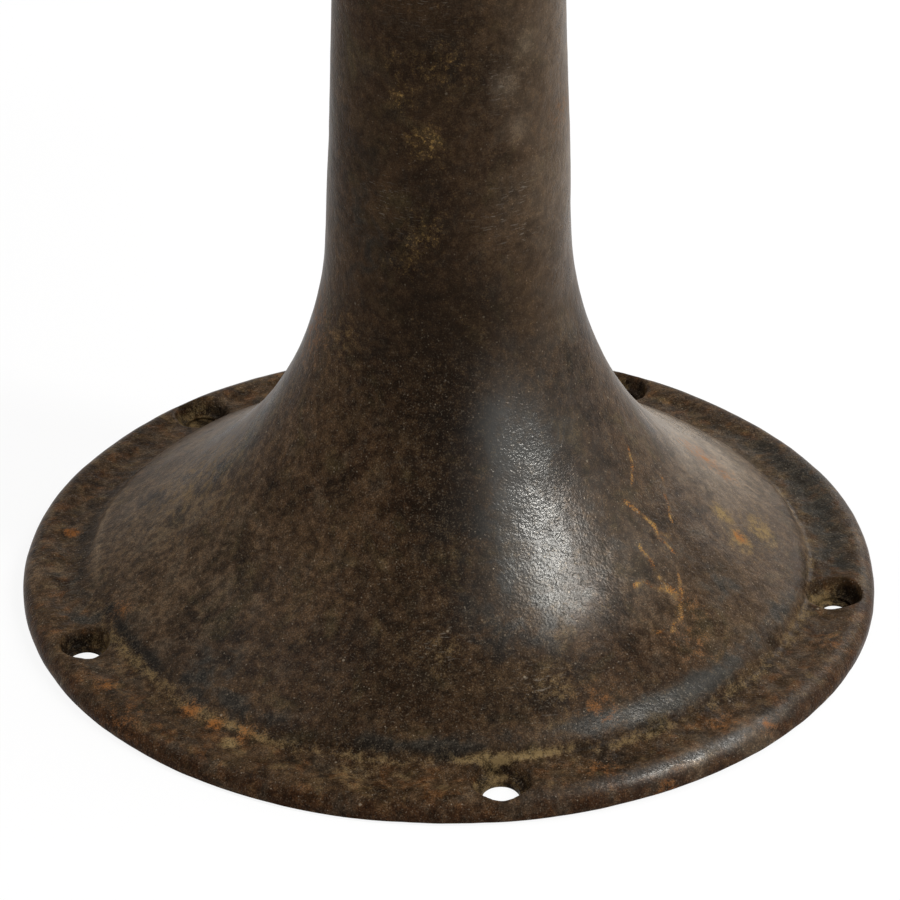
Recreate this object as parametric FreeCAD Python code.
import FreeCAD
import Part
import math
import os

# Floor-fixed pedestal school chair.
# Millimetres and degrees. The origin is the centre of the foot on the floor, +Z is up, and the chair faces -Y.

# Pedestal foot: flange, rim bead and bell
flange_radius = 152.5
flange_thickness = 6.8
rim_bead_height = 8.0
rim_bead_width = 9.0
rim_bead_round = 6.5
rim_bead_swell = 10.0
rim_bead_run_out = 6.0
foot_edge_round = 1.0
bell_foot_radius = 128.9
bell_step_height = 3.8
bell_step_angle = 60.0
bell_crease_round = 2.8
bell_shoulder_round = 11.0
bell_slope_angle = 33.3
flare_radius = 144.0
casting_wall = 8.0

# Floor screw holes in the flange
hole_count = 5
hole_circle_radius = 138.75
hole_radius = 6.2
countersink_radius = 10.4
countersink_depth = 4.3
countersink_draft = 0.5

# Pedestal column, and the split collar that clamps the seat post
pedestal_height = 340.0
column_top_radius = 34.4
column_taper_angle = 2.09
collar_height = 34.0
collar_wall = 17.0
collar_round = 3.0
socket_depth = 125.0
socket_lead_in = 12.0
core_round = 4.0
slot_width = 4.0
slot_depth = 58.0
ear_thickness = 13.0
ear_height = 26.0
ear_bolt_offset = 11.0
ear_edge_distance = 13.0
ear_round = 12.0

# Clamp bolt through the ears
clamp_bolt_radius = 4.75
clamp_head_width = 14.3
clamp_head_height = 6.5
clamp_washer_radius = 10.5
clamp_washer_thickness = 1.6
clamp_nut_width = 15.9
clamp_nut_height = 8.3
clamp_bolt_tail = 4.0

# Seat post and swivel spindle
post_radius = 22.2
post_engagement = 118.0
post_edge_round = 2.0
lowering_travel = 28.0
stop_clearance = 3.0
spindle_radius = 14.0
spindle_thread_radius = 10.0
thrust_washer_radius = 27.0
thrust_washer_thickness = 3.0
spindle_washer_radius = 21.0
spindle_washer_thickness = 2.5
spindle_nut_width = 28.6
spindle_nut_height = 12.5
nut_slot_width = 4.0
nut_slot_depth = 5.0
cotter_wire_radius = 1.5
cotter_leg_length = 7.0
cotter_bend_radius = 4.0
cotter_eye_radius = 3.5
nut_headroom = 2.8

# Seat spider: hub, ribbed arms and pads
hub_radius = 30.0
hub_height = 36.0
hub_round = 3.0
arm_count = 4
arm_plate_thickness = 7.0
arm_rib_thickness = 9.0
arm_root_width = 36.0
arm_neck_width = 22.0
arm_root_inset = 3.0
arm_crown_inset = 5.0
arm_root_bend = 40.0
arm_pad_bend = 30.0
pad_inner_reach = 82.0
pad_outer_reach = 142.0
pad_width = 34.0
pad_thickness = 8.0
pad_round = 15.0

# Seat board
seat_front = -190.0
seat_rear = 175.0
seat_bow = 16.0
seat_bow_radius = 900.0
seat_front_half_width = 196.0
seat_rear_half_width = 172.0
seat_front_corner = 58.0
seat_rear_corner = 42.0
seat_thickness = 24.0
seat_top_round = 8.0
seat_bottom_round = 3.0
scoop_depth = 8.5
scoop_side_margin = 18.4
scoop_front_margin = 57.0
scoop_rear_margin = 52.0
scoop_ridge_overlap = 18.0
scoop_edge_round = 50.0

# Wood screws that hold the seat board to the spider's pads
screw_radius = 2.7
screw_bite = 12.0
screw_tip = 5.0
screw_head_radius = 5.4
screw_head_height = 3.4
screw_edge_distance = 13.0
screw_spacing = 23.0

# Back irons, each a flat bar that runs under the seat and up behind it
back_axis_distance = 275.0
iron_splay_angle = 13.5
iron_lean_angle = 10.0
iron_width = 28.0
iron_thickness = 6.0
iron_bend_radius = 24.0
iron_rise = 328.0
iron_end_distance = 15.0

# Carriage bolts that hold the irons to the seat board
seat_bolt_radius = 3.2
seat_bolt_neck = 6.4
seat_bolt_neck_height = 4.0
seat_bolt_head_radius = 8.5
seat_bolt_head_height = 3.6
seat_bolt_spacing = 26.0
seat_bolt_bend_distance = 14.0
seat_bolt_tail = 3.0
seat_washer_radius = 8.5
seat_washer_thickness = 1.4
seat_nut_width = 11.1
seat_nut_height = 5.6

# Back slats, bent to a curve about an upright axis in front of the chair
slat_thickness = 12.0
slat_edge_round = 3.5
slat_half_span = 190.0
slat_corner = 22.0
lower_slat_start = 112.0
lower_slat_height = 62.0
lower_slat_bolt_spacing = 32.0
upper_slat_start = 240.0
upper_slat_height = 102.0
upper_slat_bolt_spacing = 46.0
slat_bolt_radius = 3.0
slat_bolt_head_radius = 7.0
slat_bolt_head_height = 3.0
slat_bolt_tail = 3.0
slat_nut_width = 11.1
slat_nut_height = 5.0

# Clearances
running_fit = 0.05
bolt_clearance = 0.3
screw_fit = 0.05
end_play = 0.2
seating_gap = 0.1

V = FreeCAD.Vector
ORIGIN = V(0, 0, 0)
X_AXIS = V(1, 0, 0)
Y_AXIS = V(0, 1, 0)
Z_AXIS = V(0, 0, 1)
FULL_TURN = 360.0

# Levels and radii that follow from the sizes above
socket_radius = post_radius + running_fit
collar_radius = socket_radius + collar_wall
collar_base = pedestal_height - collar_height
post_shoulder = pedestal_height + lowering_travel + stop_clearance
hub_bottom = post_shoulder + thrust_washer_thickness
hub_top = hub_bottom + hub_height
journal_top = hub_top + end_play
spindle_nut_bottom = journal_top + spindle_washer_thickness
spindle_nut_top = spindle_nut_bottom + spindle_nut_height
seat_bottom = spindle_nut_top + nut_headroom
seat_top = seat_bottom + seat_thickness
cotter_level = spindle_nut_top - nut_slot_depth / 2
scoop_half_length = (seat_rear - scoop_rear_margin - seat_front - scoop_front_margin) / 2
scoop_centre = seat_front + scoop_front_margin + scoop_half_length
seat_corner_level = seat_front + seat_bow
seat_side_taper = (seat_front_half_width - seat_rear_half_width) / (seat_rear - seat_corner_level)
seat_middle_half_width = seat_front_half_width - seat_side_taper * (scoop_centre - seat_corner_level)
scoop_half_width = (seat_middle_half_width - scoop_side_margin + scoop_ridge_overlap) / 2
scoop_offset = scoop_half_width - scoop_ridge_overlap
clamp_level = pedestal_height - collar_height / 2
clamp_axis = collar_radius + ear_bolt_offset
clamp_half_width = slot_width / 2 + ear_thickness


def sine(angle):
    return math.sin(math.radians(angle))


def cosine(angle):
    return math.cos(math.radians(angle))


def tangent(angle):
    return math.tan(math.radians(angle))


def plan(a, b):
    """A point of an outline drawn on the floor plane."""
    return V(a, b, 0)


def elevation(a, b):
    """A point of an outline drawn on the plane of X and Z."""
    return V(a, 0, b)


def profile(a, b):
    """A point of an outline drawn on the plane of Y and Z."""
    return V(0, a, b)


def rounded_wire(corners, drawn_on):
    """Closed wire through (a, b, radius) corners, each rounded by a tangent arc."""
    points = [V(a, b, 0) for a, b, radius in corners]
    spans = []
    for i, corner in enumerate(points):
        radius = corners[i][2]
        back = (points[i - 1] - corner).normalize()
        ahead = (points[(i + 1) % len(points)] - corner).normalize()
        half_angle = back.getAngle(ahead) / 2
        reach = radius / math.tan(half_angle)
        inward = (back + ahead).normalize()
        crown = corner + inward * (radius / math.sin(half_angle) - radius)
        spans.append((corner + back * reach, crown, corner + ahead * reach, radius))
    edges = []
    for i, (start, crown, end, radius) in enumerate(spans):
        last = spans[i - 1][2]
        if (start - last).Length > 1e-6:
            edges.append(Part.LineSegment(drawn_on(last.x, last.y), drawn_on(start.x, start.y)).toShape())
        if radius > 0:
            arc = Part.Arc(*[drawn_on(p.x, p.y) for p in (start, crown, end)])
            edges.append(arc.toShape())
    return Part.Wire(edges)


def turned(corners):
    """Solid of revolution about Z of a (radius, height, rounding) profile."""
    return Part.Face(rounded_wire(corners, elevation)).revolve(ORIGIN, Z_AXIS, FULL_TURN)


def prism(corners, drawn_on, along):
    """Rounded outline pushed along a vector."""
    return Part.Face(rounded_wire(corners, drawn_on)).extrude(along)


def ring(inner, outer, bottom, height):
    """Flat washer about Z."""
    top = bottom + height
    return turned([(inner, bottom, 0), (outer, bottom, 0), (outer, top, 0), (inner, top, 0)])


def rod(radius, bottom, top):
    """Round bar about Z."""
    return Part.makeCylinder(radius, top - bottom, V(0, 0, bottom))


def square_block(width, bottom, height):
    """Square prism about Z."""
    return Part.makeBox(width, width, height, V(-width / 2, -width / 2, bottom))


def dome_head(radius, height, bottom):
    """Low round bolt head about Z, flat underneath."""
    rim = V(radius, 0, bottom)
    crown = V(0, 0, bottom + height)
    sphere = (radius ** 2 + height ** 2) / (2 * height)
    half_angle = math.asin(radius / sphere) / 2
    middle = V(sphere * math.sin(half_angle), 0, crown.z - sphere * (1 - math.cos(half_angle)))
    foot = V(0, 0, bottom)
    edges = [
        Part.LineSegment(foot, rim).toShape(),
        Part.Arc(rim, middle, crown).toShape(),
        Part.LineSegment(crown, foot).toShape(),
    ]
    return Part.Face(Part.Wire(edges)).revolve(ORIGIN, Z_AXIS, FULL_TURN)


def square_nut(width, height, bore):
    """Square nut about Z, standing on the plane of X and Y."""
    return square_block(width, 0, height).cut(rod(bore, -height, 2 * height))


def placed(shape, point, direction):
    """Copy of a shape built about Z, with its Z along a direction from a point."""
    copy = shape.copy()
    copy.Placement = FreeCAD.Placement(point, FreeCAD.Rotation(Z_AXIS, direction)).multiply(shape.Placement)
    return copy


def lines_meet(point_a, angle_a, point_b, angle_b):
    """Where two lines of the (radius, height) plane cross, each given by a point and its angle."""
    ax, az = point_a
    bx, bz = point_b
    det = cosine(angle_a) * sine(angle_b) - sine(angle_a) * cosine(angle_b)
    run = ((bx - ax) * sine(angle_b) - (bz - az) * cosine(angle_b)) / det
    return ax + run * cosine(angle_a), az + run * sine(angle_a)


def make_pedestal():
    """Hollow cast pedestal: bell foot, tapered column, split collar with clamp ears."""
    slope = 180.0 - bell_slope_angle
    upright = 90.0 + column_taper_angle
    shoulder = (bell_foot_radius - bell_step_height / tangent(bell_step_angle), flange_thickness + bell_step_height)
    column_top = (column_top_radius, pedestal_height)
    flare = lines_meet(shoulder, slope, column_top, upright)
    collar_foot = lines_meet((column_top_radius, pedestal_height), upright, (0, collar_base), 0)
    collar_lip = (collar_radius, collar_base + collar_radius - collar_foot[0])

    inner_slope = (shoulder[0], shoulder[1] - casting_wall / cosine(bell_slope_angle))
    inner_column = (column_top_radius - casting_wall / cosine(column_taper_angle), pedestal_height)
    inner_flare = lines_meet(inner_slope, slope, inner_column, upright)
    hollow_edge = lines_meet(inner_slope, slope, (0, 0), 0)
    socket_bottom = pedestal_height - socket_depth
    core_top = lines_meet(inner_column, upright, (0, socket_bottom - socket_lead_in), 0)

    body = turned([
        (flange_radius, 0, foot_edge_round),
        (flange_radius, rim_bead_height, rim_bead_round),
        (flange_radius - rim_bead_width, rim_bead_height, rim_bead_swell),
        (flange_radius - rim_bead_width - rim_bead_run_out, flange_thickness, rim_bead_swell),
        (bell_foot_radius, flange_thickness, bell_crease_round),
        (*shoulder, bell_shoulder_round),
        (*flare, flare_radius),
        (*collar_foot, collar_round),
        (*collar_lip, collar_round),
        (collar_radius, pedestal_height, collar_round),
        (socket_radius, pedestal_height, 0),
        (socket_radius, socket_bottom, 0),
        (*core_top, core_round),
        (*inner_flare, flare_radius + casting_wall),
        (*hollow_edge, 0),
    ])

    ear_tip = clamp_axis + ear_edge_distance
    ears = prism([
        (socket_radius, clamp_level - ear_height / 2, 0),
        (ear_tip, clamp_level - ear_height / 2, ear_round),
        (ear_tip, clamp_level + ear_height / 2, ear_round),
        (socket_radius, clamp_level + ear_height / 2, 0),
    ], profile, X_AXIS * (2 * clamp_half_width)).translated(X_AXIS * -clamp_half_width)
    ears = ears.cut(rod(socket_radius, 0, pedestal_height))
    slot = Part.makeBox(slot_width, ear_tip, slot_depth, V(-slot_width / 2, 0, pedestal_height - slot_depth))
    slot_end = Part.makeCylinder(slot_width / 2, ear_tip, V(0, 0, pedestal_height - slot_depth), Y_AXIS)
    bolt_hole = Part.makeCylinder(
        clamp_bolt_radius + bolt_clearance, 2 * clamp_half_width, V(-clamp_half_width, clamp_axis, clamp_level), X_AXIS)
    body = body.fuse(ears).cut([slot, slot_end, bolt_hole])

    sink_floor = flange_thickness - countersink_depth
    sink_mouth = flange_thickness - countersink_draft
    screw_tool = turned([
        (0, -hole_radius, 0),
        (hole_radius, -hole_radius, 0),
        (hole_radius, sink_floor, 0),
        (countersink_radius - countersink_draft, sink_mouth, 0),
        (countersink_radius, sink_mouth + countersink_radius, 0),
        (0, sink_mouth + countersink_radius, 0),
    ]).translated(Y_AXIS * -hole_circle_radius)
    screws = [screw_tool.rotated(ORIGIN, Z_AXIS, FULL_TURN * i / hole_count) for i in range(hole_count)]
    return body.cut(screws).removeSplitter()


def make_clamp_parts():
    """Square-headed bolt across the ears, with its washer and square nut."""
    nut_face = clamp_half_width + clamp_washer_thickness
    tail = nut_face + clamp_nut_height + clamp_bolt_tail
    bolt = rod(clamp_bolt_radius, -clamp_half_width, tail)
    bolt = bolt.fuse(square_block(clamp_head_width, -clamp_half_width - clamp_head_height, clamp_head_height))
    washer = ring(
        clamp_bolt_radius + bolt_clearance, clamp_washer_radius, clamp_half_width, clamp_washer_thickness)
    nut = square_nut(clamp_nut_width, clamp_nut_height, clamp_bolt_radius + screw_fit).translated(Z_AXIS * nut_face)
    middle = V(0, clamp_axis, clamp_level)
    return [placed(shape, middle, -X_AXIS) for shape in (bolt, washer, nut)]


def make_seat_post():
    """Sliding post with the spindle that the seat turns on, drilled for the cotter pin."""
    bottom = pedestal_height - post_engagement
    post = turned([
        (0, bottom, 0),
        (post_radius, bottom, post_edge_round),
        (post_radius, post_shoulder, 0),
        (spindle_radius, post_shoulder, 0),
        (spindle_radius, journal_top, 0),
        (spindle_thread_radius, journal_top, 0),
        (spindle_thread_radius, spindle_nut_top, 0),
        (0, spindle_nut_top, 0),
    ])
    drill = Part.makeCylinder(
        cotter_wire_radius + bolt_clearance, 2 * post_radius, V(-post_radius, 0, cotter_level), X_AXIS)
    return post.cut(drill)


def make_spindle_nut():
    """Hexagon castle nut, slotted across each pair of flats."""
    corner = spindle_nut_width / 2 / cosine(30)
    outline = [(corner * cosine(60 * i + 30), corner * sine(60 * i + 30), 0) for i in range(6)]
    nut = prism(outline, plan, Z_AXIS * spindle_nut_height).translated(Z_AXIS * spindle_nut_bottom)
    bore = rod(spindle_thread_radius + screw_fit, 0, 2 * spindle_nut_top)
    slot = Part.makeBox(
        2 * corner, nut_slot_width, nut_slot_depth, V(-corner, -nut_slot_width / 2, spindle_nut_top - nut_slot_depth))
    return nut.cut([bore] + [slot.rotated(ORIGIN, Z_AXIS, 60 * i) for i in range(3)])


def make_cotter_pin():
    """Round wire through the nut and spindle, with an eye at one end and a bent leg at the other."""
    reach = spindle_nut_width / 2 / cosine(30) + cotter_wire_radius
    bend_start = V(-reach, 0, cotter_level)
    bend_end = V(-reach - cotter_bend_radius, cotter_bend_radius, cotter_level)
    bend_middle = bend_start + V(-cotter_bend_radius * sine(45), cotter_bend_radius * (1 - cosine(45)), 0)
    eye_centre = V(reach + cotter_eye_radius, 0, cotter_level)
    path = Part.Wire([
        Part.LineSegment(V(reach, 0, cotter_level), bend_start).toShape(),
        Part.Arc(bend_start, bend_middle, bend_end).toShape(),
        Part.LineSegment(bend_end, bend_end + Y_AXIS * cotter_leg_length).toShape(),
    ])
    section = Part.Wire(Part.makeCircle(cotter_wire_radius, V(reach, 0, cotter_level), X_AXIS))
    wire = path.makePipeShell([section], True, True)
    eye = Part.makeTorus(cotter_eye_radius, cotter_wire_radius, eye_centre, Z_AXIS)
    return Part.Solid(wire).fuse(eye)


def arm_side(low_root, low_pad, far):
    """Outline of an arm seen from the side, from inside the hub out to the pad."""
    root = hub_radius - arm_root_inset - hub_round
    knee = hub_radius + arm_root_bend / 2
    return [
        (root, low_root, 0),
        (knee, low_root, arm_root_bend),
        (pad_inner_reach, low_pad, arm_pad_bend),
        (far, low_pad, 0),
        (far, seat_bottom, 0),
        (pad_inner_reach - pad_thickness, seat_bottom, arm_pad_bend),
        (knee, hub_top - arm_crown_inset, arm_root_bend),
        (root, hub_top - arm_crown_inset, 0),
    ]


def make_seat_spider():
    """Cast hub with ribbed arms that rise to the pads under the seat board."""
    hub = turned([
        (spindle_radius + running_fit, hub_bottom, 0),
        (hub_radius, hub_bottom, hub_round),
        (hub_radius, hub_top, hub_round),
        (spindle_radius + running_fit, hub_top, 0),
    ])
    plate_low = hub_top - arm_crown_inset - arm_plate_thickness
    root = hub_radius - arm_root_inset - hub_round
    half_root, half_neck, half_pad = arm_root_width / 2, arm_neck_width / 2, pad_width / 2
    plate_plan = [
        (root, -half_root, 0),
        (pad_inner_reach - half_pad, -half_neck, half_pad),
        (pad_inner_reach, -half_pad, half_neck),
        (pad_outer_reach, -half_pad, pad_round),
        (pad_outer_reach, half_pad, pad_round),
        (pad_inner_reach, half_pad, half_neck),
        (pad_inner_reach - half_pad, half_neck, half_pad),
        (root, half_root, 0),
    ]
    pad_low = seat_bottom - pad_thickness
    rib_root = hub_bottom + arm_root_inset
    across = Y_AXIS * pad_width
    plate = prism(arm_side(plate_low, pad_low, pad_outer_reach), elevation, across).translated(across * -0.5)
    plate = plate.common(prism(plate_plan, plan, Z_AXIS * seat_top))
    along = Y_AXIS * arm_rib_thickness
    rib_end = pad_inner_reach + arm_pad_bend / 2
    rib = prism(arm_side(rib_root, pad_low, rib_end), elevation, along).translated(along * -0.5)
    arm = plate.fuse(rib)
    for reach in screw_reaches():
        arm = arm.cut(rod(screw_radius + bolt_clearance, 0, seat_top).translated(X_AXIS * reach))
    spider = hub.fuse(around_hub(arm))
    return spider.removeSplitter()


def screw_reaches():
    """Distances of a pad's two screws from the swivel axis."""
    outer = pad_outer_reach - screw_edge_distance
    return outer - screw_spacing, outer


def around_hub(shape):
    """Copies of one arm's shape, one for each arm, set on the seat's diagonals."""
    step = FULL_TURN / arm_count
    return [shape.rotated(ORIGIN, Z_AXIS, step * (i + 0.5)) for i in range(arm_count)]


def make_seat_screws():
    """Round-headed wood screws, driven up through the pads."""
    head_level = seat_bottom - pad_thickness
    shank_top = seat_bottom + screw_bite
    screw = turned([
        (0, head_level, 0),
        (screw_radius, head_level, 0),
        (screw_radius, shank_top - screw_tip, 0),
        (0, shank_top, 0),
    ])
    head = dome_head(screw_head_radius, screw_head_height, 0).mirror(ORIGIN, Z_AXIS)
    screw = screw.fuse(head.translated(Z_AXIS * head_level))
    pairs = [screw.translated(X_AXIS * reach) for reach in screw_reaches()]
    return [copy for one in pairs for copy in around_hub(one)]


def iron_bend_reach():
    """Length that the bend takes from each of the iron's two straight runs."""
    return iron_bend_radius * tangent((90 - iron_lean_angle) / 2)


def iron_corner():
    """Distance from the back's axis to where the iron's upper faces would cross."""
    seat_edge = (seat_rear + back_axis_distance) / cosine(iron_splay_angle)
    clear_of_seat = iron_width / 2 * tangent(iron_splay_angle)
    return seat_edge + clear_of_seat + iron_bend_reach()


def seat_bolt_reaches():
    """Distances of an iron's two seat bolts from the back's axis."""
    rear = iron_corner() - iron_bend_reach() - seat_bolt_bend_distance
    return rear, rear - seat_bolt_spacing


def along_iron(rise, out=0.0):
    """Point of the iron's middle plane, at a rise up its front face and a distance behind that face."""
    reach = iron_corner() + rise * sine(iron_lean_angle) + out * cosine(iron_lean_angle)
    return reach, seat_bottom + rise * cosine(iron_lean_angle) - out * sine(iron_lean_angle)


def on_side(shape, side):
    """Carries a shape from the plane of one iron to the left (-1) or right (+1) iron's place."""
    turned_shape = shape.rotated(ORIGIN, Z_AXIS, -side * iron_splay_angle)
    return turned_shape.translated(Y_AXIS * -back_axis_distance)


def slat_bolt_rises(start, height, spacing):
    """Rises up the iron of the two bolts that hold one slat."""
    middle = start + height / 2
    return middle - spacing / 2, middle + spacing / 2


def all_slat_bolt_rises():
    lower = slat_bolt_rises(lower_slat_start, lower_slat_height, lower_slat_bolt_spacing)
    upper = slat_bolt_rises(upper_slat_start, upper_slat_height, upper_slat_bolt_spacing)
    return lower + upper


def behind_iron():
    """Direction straight out of the back of an iron, in the plane of that iron."""
    return V(0, cosine(iron_lean_angle), -sine(iron_lean_angle))


def slat_bolt_holes(radius):
    """Drills through slat and iron for the slat bolts of one iron."""
    drills = []
    for rise in all_slat_bolt_rises():
        point = V(0, *along_iron(rise, -2 * slat_thickness))
        drills.append(placed(rod(radius, 0, 4 * slat_thickness), point, behind_iron()))
    return drills


def make_back_iron(side):
    """Flat bar bent up behind the seat, with a round top end, drilled for its bolts."""
    start = seat_bolt_reaches()[1] - iron_end_distance
    outer_corner = lines_meet(
        along_iron(0, iron_thickness), 90 - iron_lean_angle, (0, seat_bottom - iron_thickness), 0)
    bar = prism([
        (start, seat_bottom, 0),
        (iron_corner(), seat_bottom, iron_bend_radius),
        (*along_iron(iron_rise), 0),
        (*along_iron(iron_rise, iron_thickness), 0),
        (*outer_corner, iron_bend_radius + iron_thickness),
        (start, seat_bottom - iron_thickness, 0),
    ], profile, X_AXIS * iron_width).translated(X_AXIS * (-iron_width / 2))
    end_round = iron_width / 2 - seating_gap
    top = along_iron(iron_rise)[1]
    face_outline = prism([
        (-iron_width / 2, 0, 0),
        (iron_width / 2, 0, 0),
        (iron_width / 2, top, end_round),
        (-iron_width / 2, top, end_round),
    ], elevation, Y_AXIS * (2 * iron_corner()))
    plan_outline = prism([
        (-iron_width / 2, start, end_round),
        (iron_width / 2, start, end_round),
        (iron_width / 2, 2 * iron_corner(), 0),
        (-iron_width / 2, 2 * iron_corner(), 0),
    ], plan, Z_AXIS * (2 * top))
    bar = bar.common(face_outline).common(plan_outline)
    drills = slat_bolt_holes(slat_bolt_radius + bolt_clearance)
    for reach in seat_bolt_reaches():
        drills.append(rod(seat_bolt_radius + bolt_clearance, 0, seat_top).translated(Y_AXIS * reach))
    return on_side(bar.cut(drills), side)


def both_sides(shapes):
    """Each shape at the right iron and at the left iron."""
    return [on_side(shape, side) for side in (1, -1) for shape in shapes]


def make_seat_bolt_parts():
    """Carriage bolts down through the seat board and irons, with washers and square nuts."""
    washer_top = seat_bottom - iron_thickness
    nut_top = washer_top - seat_washer_thickness
    nut_bottom = nut_top - seat_nut_height
    bolt = rod(seat_bolt_radius, nut_bottom - seat_bolt_tail, seat_top)
    bolt = bolt.fuse(square_block(seat_bolt_neck, seat_top - seat_bolt_neck_height, seat_bolt_neck_height))
    bolt = bolt.fuse(dome_head(seat_bolt_head_radius, seat_bolt_head_height, seat_top))
    washer = ring(
        seat_bolt_radius + bolt_clearance, seat_washer_radius, nut_top, seat_washer_thickness)
    nut = square_nut(seat_nut_width, seat_nut_height, seat_bolt_radius + screw_fit).translated(Z_AXIS * nut_bottom)
    groups = []
    for shape in (bolt, washer, nut):
        groups.append(both_sides([shape.translated(Y_AXIS * reach) for reach in seat_bolt_reaches()]))
    return groups


def make_scoop(x):
    """Tool for one hollow of the saddle seat: a shallow arc swung about a lengthwise axis above it."""
    swing_radius = (scoop_half_width ** 2 + scoop_depth ** 2) / (2 * scoop_depth)
    arc_radius = (scoop_half_length ** 2 + scoop_depth ** 2) / (2 * scoop_depth)
    run = scoop_half_length + seat_thickness
    floor = seat_top - scoop_depth
    rise = arc_radius - math.sqrt(arc_radius ** 2 - run ** 2)
    lid = floor + rise + seat_thickness
    front = V(x, scoop_centre - run, floor + rise)
    rear = V(x, scoop_centre + run, floor + rise)
    edges = [
        Part.Arc(front, V(x, scoop_centre, floor), rear).toShape(),
        Part.LineSegment(rear, V(x, rear.y, lid)).toShape(),
        Part.LineSegment(V(x, rear.y, lid), V(x, front.y, lid)).toShape(),
        Part.LineSegment(V(x, front.y, lid), front).toShape(),
    ]
    axis_point = V(x, scoop_centre, floor + swing_radius)
    half_swing = math.degrees(math.asin((scoop_half_width + seat_thickness) / swing_radius))
    face = Part.Face(Part.Wire(edges)).rotated(axis_point, Y_AXIS, -half_swing)
    return face.revolve(axis_point, Y_AXIS, 2 * half_swing)


def edges_at(shape, level):
    """Edges of a shape that lie on one level."""
    return [edge for edge in shape.Edges if all(abs(v.Z - level) < 1e-6 for v in edge.Vertexes)]


def scoop_edges(board):
    """Rim of the two hollows and the ridge between them."""
    reach_x = scoop_offset + scoop_half_width + seating_gap
    reach_y = scoop_half_length + seating_gap
    inside = []
    for edge in board.Edges:
        box = edge.BoundBox
        narrow = -reach_x < box.XMin and box.XMax < reach_x
        short = scoop_centre - reach_y < box.YMin and box.YMax < scoop_centre + reach_y
        if narrow and short and box.ZMin > seat_top - scoop_depth:
            inside.append(edge)
    return inside


def make_seat_board():
    """Saddle seat cut from a thick board, with eased edges, bored for its screws and bolts."""
    board = prism([
        (-seat_front_half_width, seat_corner_level, seat_front_corner),
        (0, seat_front, seat_bow_radius),
        (seat_front_half_width, seat_corner_level, seat_front_corner),
        (seat_rear_half_width, seat_rear, seat_rear_corner),
        (-seat_rear_half_width, seat_rear, seat_rear_corner),
    ], plan, Z_AXIS * seat_thickness).translated(Z_AXIS * seat_bottom)
    board = board.makeFillet(seat_top_round, edges_at(board, seat_top))
    board = board.makeFillet(seat_bottom_round, edges_at(board, seat_bottom))
    board = board.cut([make_scoop(-scoop_offset), make_scoop(scoop_offset)])
    board = board.makeFillet(scoop_edge_round, scoop_edges(board))
    pilot = turned([
        (0, 0, 0),
        (screw_radius + screw_fit, 0, 0),
        (screw_radius + screw_fit, seat_bottom + screw_bite - screw_tip, 0),
        (0, seat_bottom + screw_bite + screw_fit, 0),
    ])
    pilots = [pilot.translated(X_AXIS * reach) for reach in screw_reaches()]
    drills = [copy for one in pilots for copy in around_hub(one)]
    bolt_hole = rod(seat_bolt_radius + bolt_clearance, 0, 2 * seat_top)
    neck_floor = seat_top - seat_bolt_neck_height - screw_fit
    neck_hole = square_block(seat_bolt_neck + 2 * screw_fit, neck_floor, seat_thickness)
    bolt_hole = bolt_hole.fuse(neck_hole)
    drills += both_sides([bolt_hole.translated(Y_AXIS * reach) for reach in seat_bolt_reaches()])
    return board.cut(drills)


def make_back_slat(start, height):
    """Bent slat: a leaning section swung about the back's axis, with round corners, drilled for its bolts."""
    top = start + height
    section = rounded_wire([
        (*along_iron(start, -slat_thickness), slat_edge_round),
        (*along_iron(start, -seating_gap), slat_edge_round),
        (*along_iron(top, -seating_gap), slat_edge_round),
        (*along_iron(top, -slat_thickness), slat_edge_round),
    ], profile)
    half_swing = math.degrees(math.asin((slat_half_span + slat_corner) / iron_corner()))
    bent = Part.Face(section).rotated(ORIGIN, Z_AXIS, -half_swing).revolve(ORIGIN, Z_AXIS, 2 * half_swing)
    low = section.BoundBox.ZMin - seating_gap
    high = section.BoundBox.ZMax + seating_gap
    front_view = prism([
        (-slat_half_span, low, slat_corner),
        (slat_half_span, low, slat_corner),
        (slat_half_span, high, slat_corner),
        (-slat_half_span, high, slat_corner),
    ], elevation, Y_AXIS * (2 * iron_corner()))
    slat = bent.common(front_view).translated(Y_AXIS * -back_axis_distance)
    return slat.cut(both_sides(slat_bolt_holes(slat_bolt_radius + bolt_clearance)))


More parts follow.
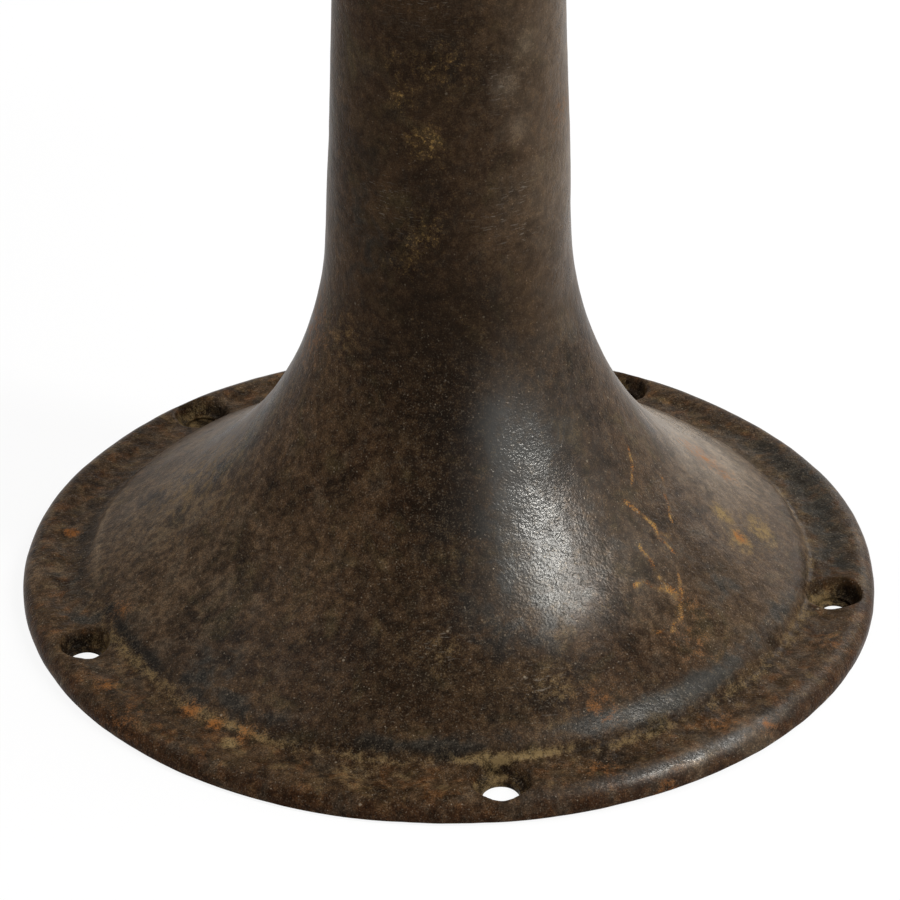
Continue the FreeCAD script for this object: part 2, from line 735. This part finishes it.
def make_slat_bolt_parts():
    """Round-headed bolts through the slats and irons, with square nuts behind."""
    grip = slat_thickness + iron_thickness + seating_gap
    bolt = rod(slat_bolt_radius, 0, grip + slat_nut_height + slat_bolt_tail)
    bolt = bolt.fuse(dome_head(slat_bolt_head_radius, slat_bolt_head_height, 0).mirror(ORIGIN, Z_AXIS))
    nut = square_nut(slat_nut_width, slat_nut_height, slat_bolt_radius + screw_fit)
    bolts = []
    nuts = []
    for rise in all_slat_bolt_rises():
        head_seat = V(0, *along_iron(rise, -slat_thickness - seating_gap))
        iron_back = V(0, *along_iron(rise, iron_thickness))
        bolts.append(placed(bolt, head_seat, behind_iron()))
        nuts.append(placed(nut, iron_back, behind_iron()))
    return both_sides(bolts), both_sides(nuts)


def save(name, shapes):
    """Writes one node, a single solid or a group of separate ones."""
    shape = shapes if isinstance(shapes, Part.Shape) else Part.Compound(shapes)
    shape.exportStep(os.path.join("parts", name + ".step"))
    solids = shape.Solids
    print(name, len(solids), "solids,", round(shape.Volume / 1000, 1), "cm3,", "valid" if shape.isValid() else "BAD")


os.makedirs("parts", exist_ok=True)

save("pedestal", make_pedestal())
clamp_bolt, clamp_washer, clamp_nut = make_clamp_parts()
save("clamp_bolt", clamp_bolt)
save("clamp_washer", clamp_washer)
save("clamp_nut", clamp_nut)

save("seat_post", make_seat_post())
save("thrust_washer", ring(
    spindle_radius + bolt_clearance, thrust_washer_radius, post_shoulder, thrust_washer_thickness))
save("spindle_washer", ring(
    spindle_thread_radius + bolt_clearance, spindle_washer_radius, journal_top, spindle_washer_thickness))
save("spindle_nut", make_spindle_nut())
save("cotter_pin", make_cotter_pin())

save("seat_spider", make_seat_spider())
save("seat_board", make_seat_board())
save("seat_screws", make_seat_screws())
save("left_back_iron", make_back_iron(-1))
save("right_back_iron", make_back_iron(1))
seat_bolts, seat_washers, seat_nuts = make_seat_bolt_parts()
save("back_iron_bolts", seat_bolts)
save("back_iron_washers", seat_washers)
save("back_iron_nuts", seat_nuts)
save("lower_back_slat", make_back_slat(lower_slat_start, lower_slat_height))
save("upper_back_slat", make_back_slat(upper_slat_start, upper_slat_height))
slat_bolts, slat_nuts = make_slat_bolt_parts()
save("slat_bolts", slat_bolts)
save("slat_nuts", slat_nuts)
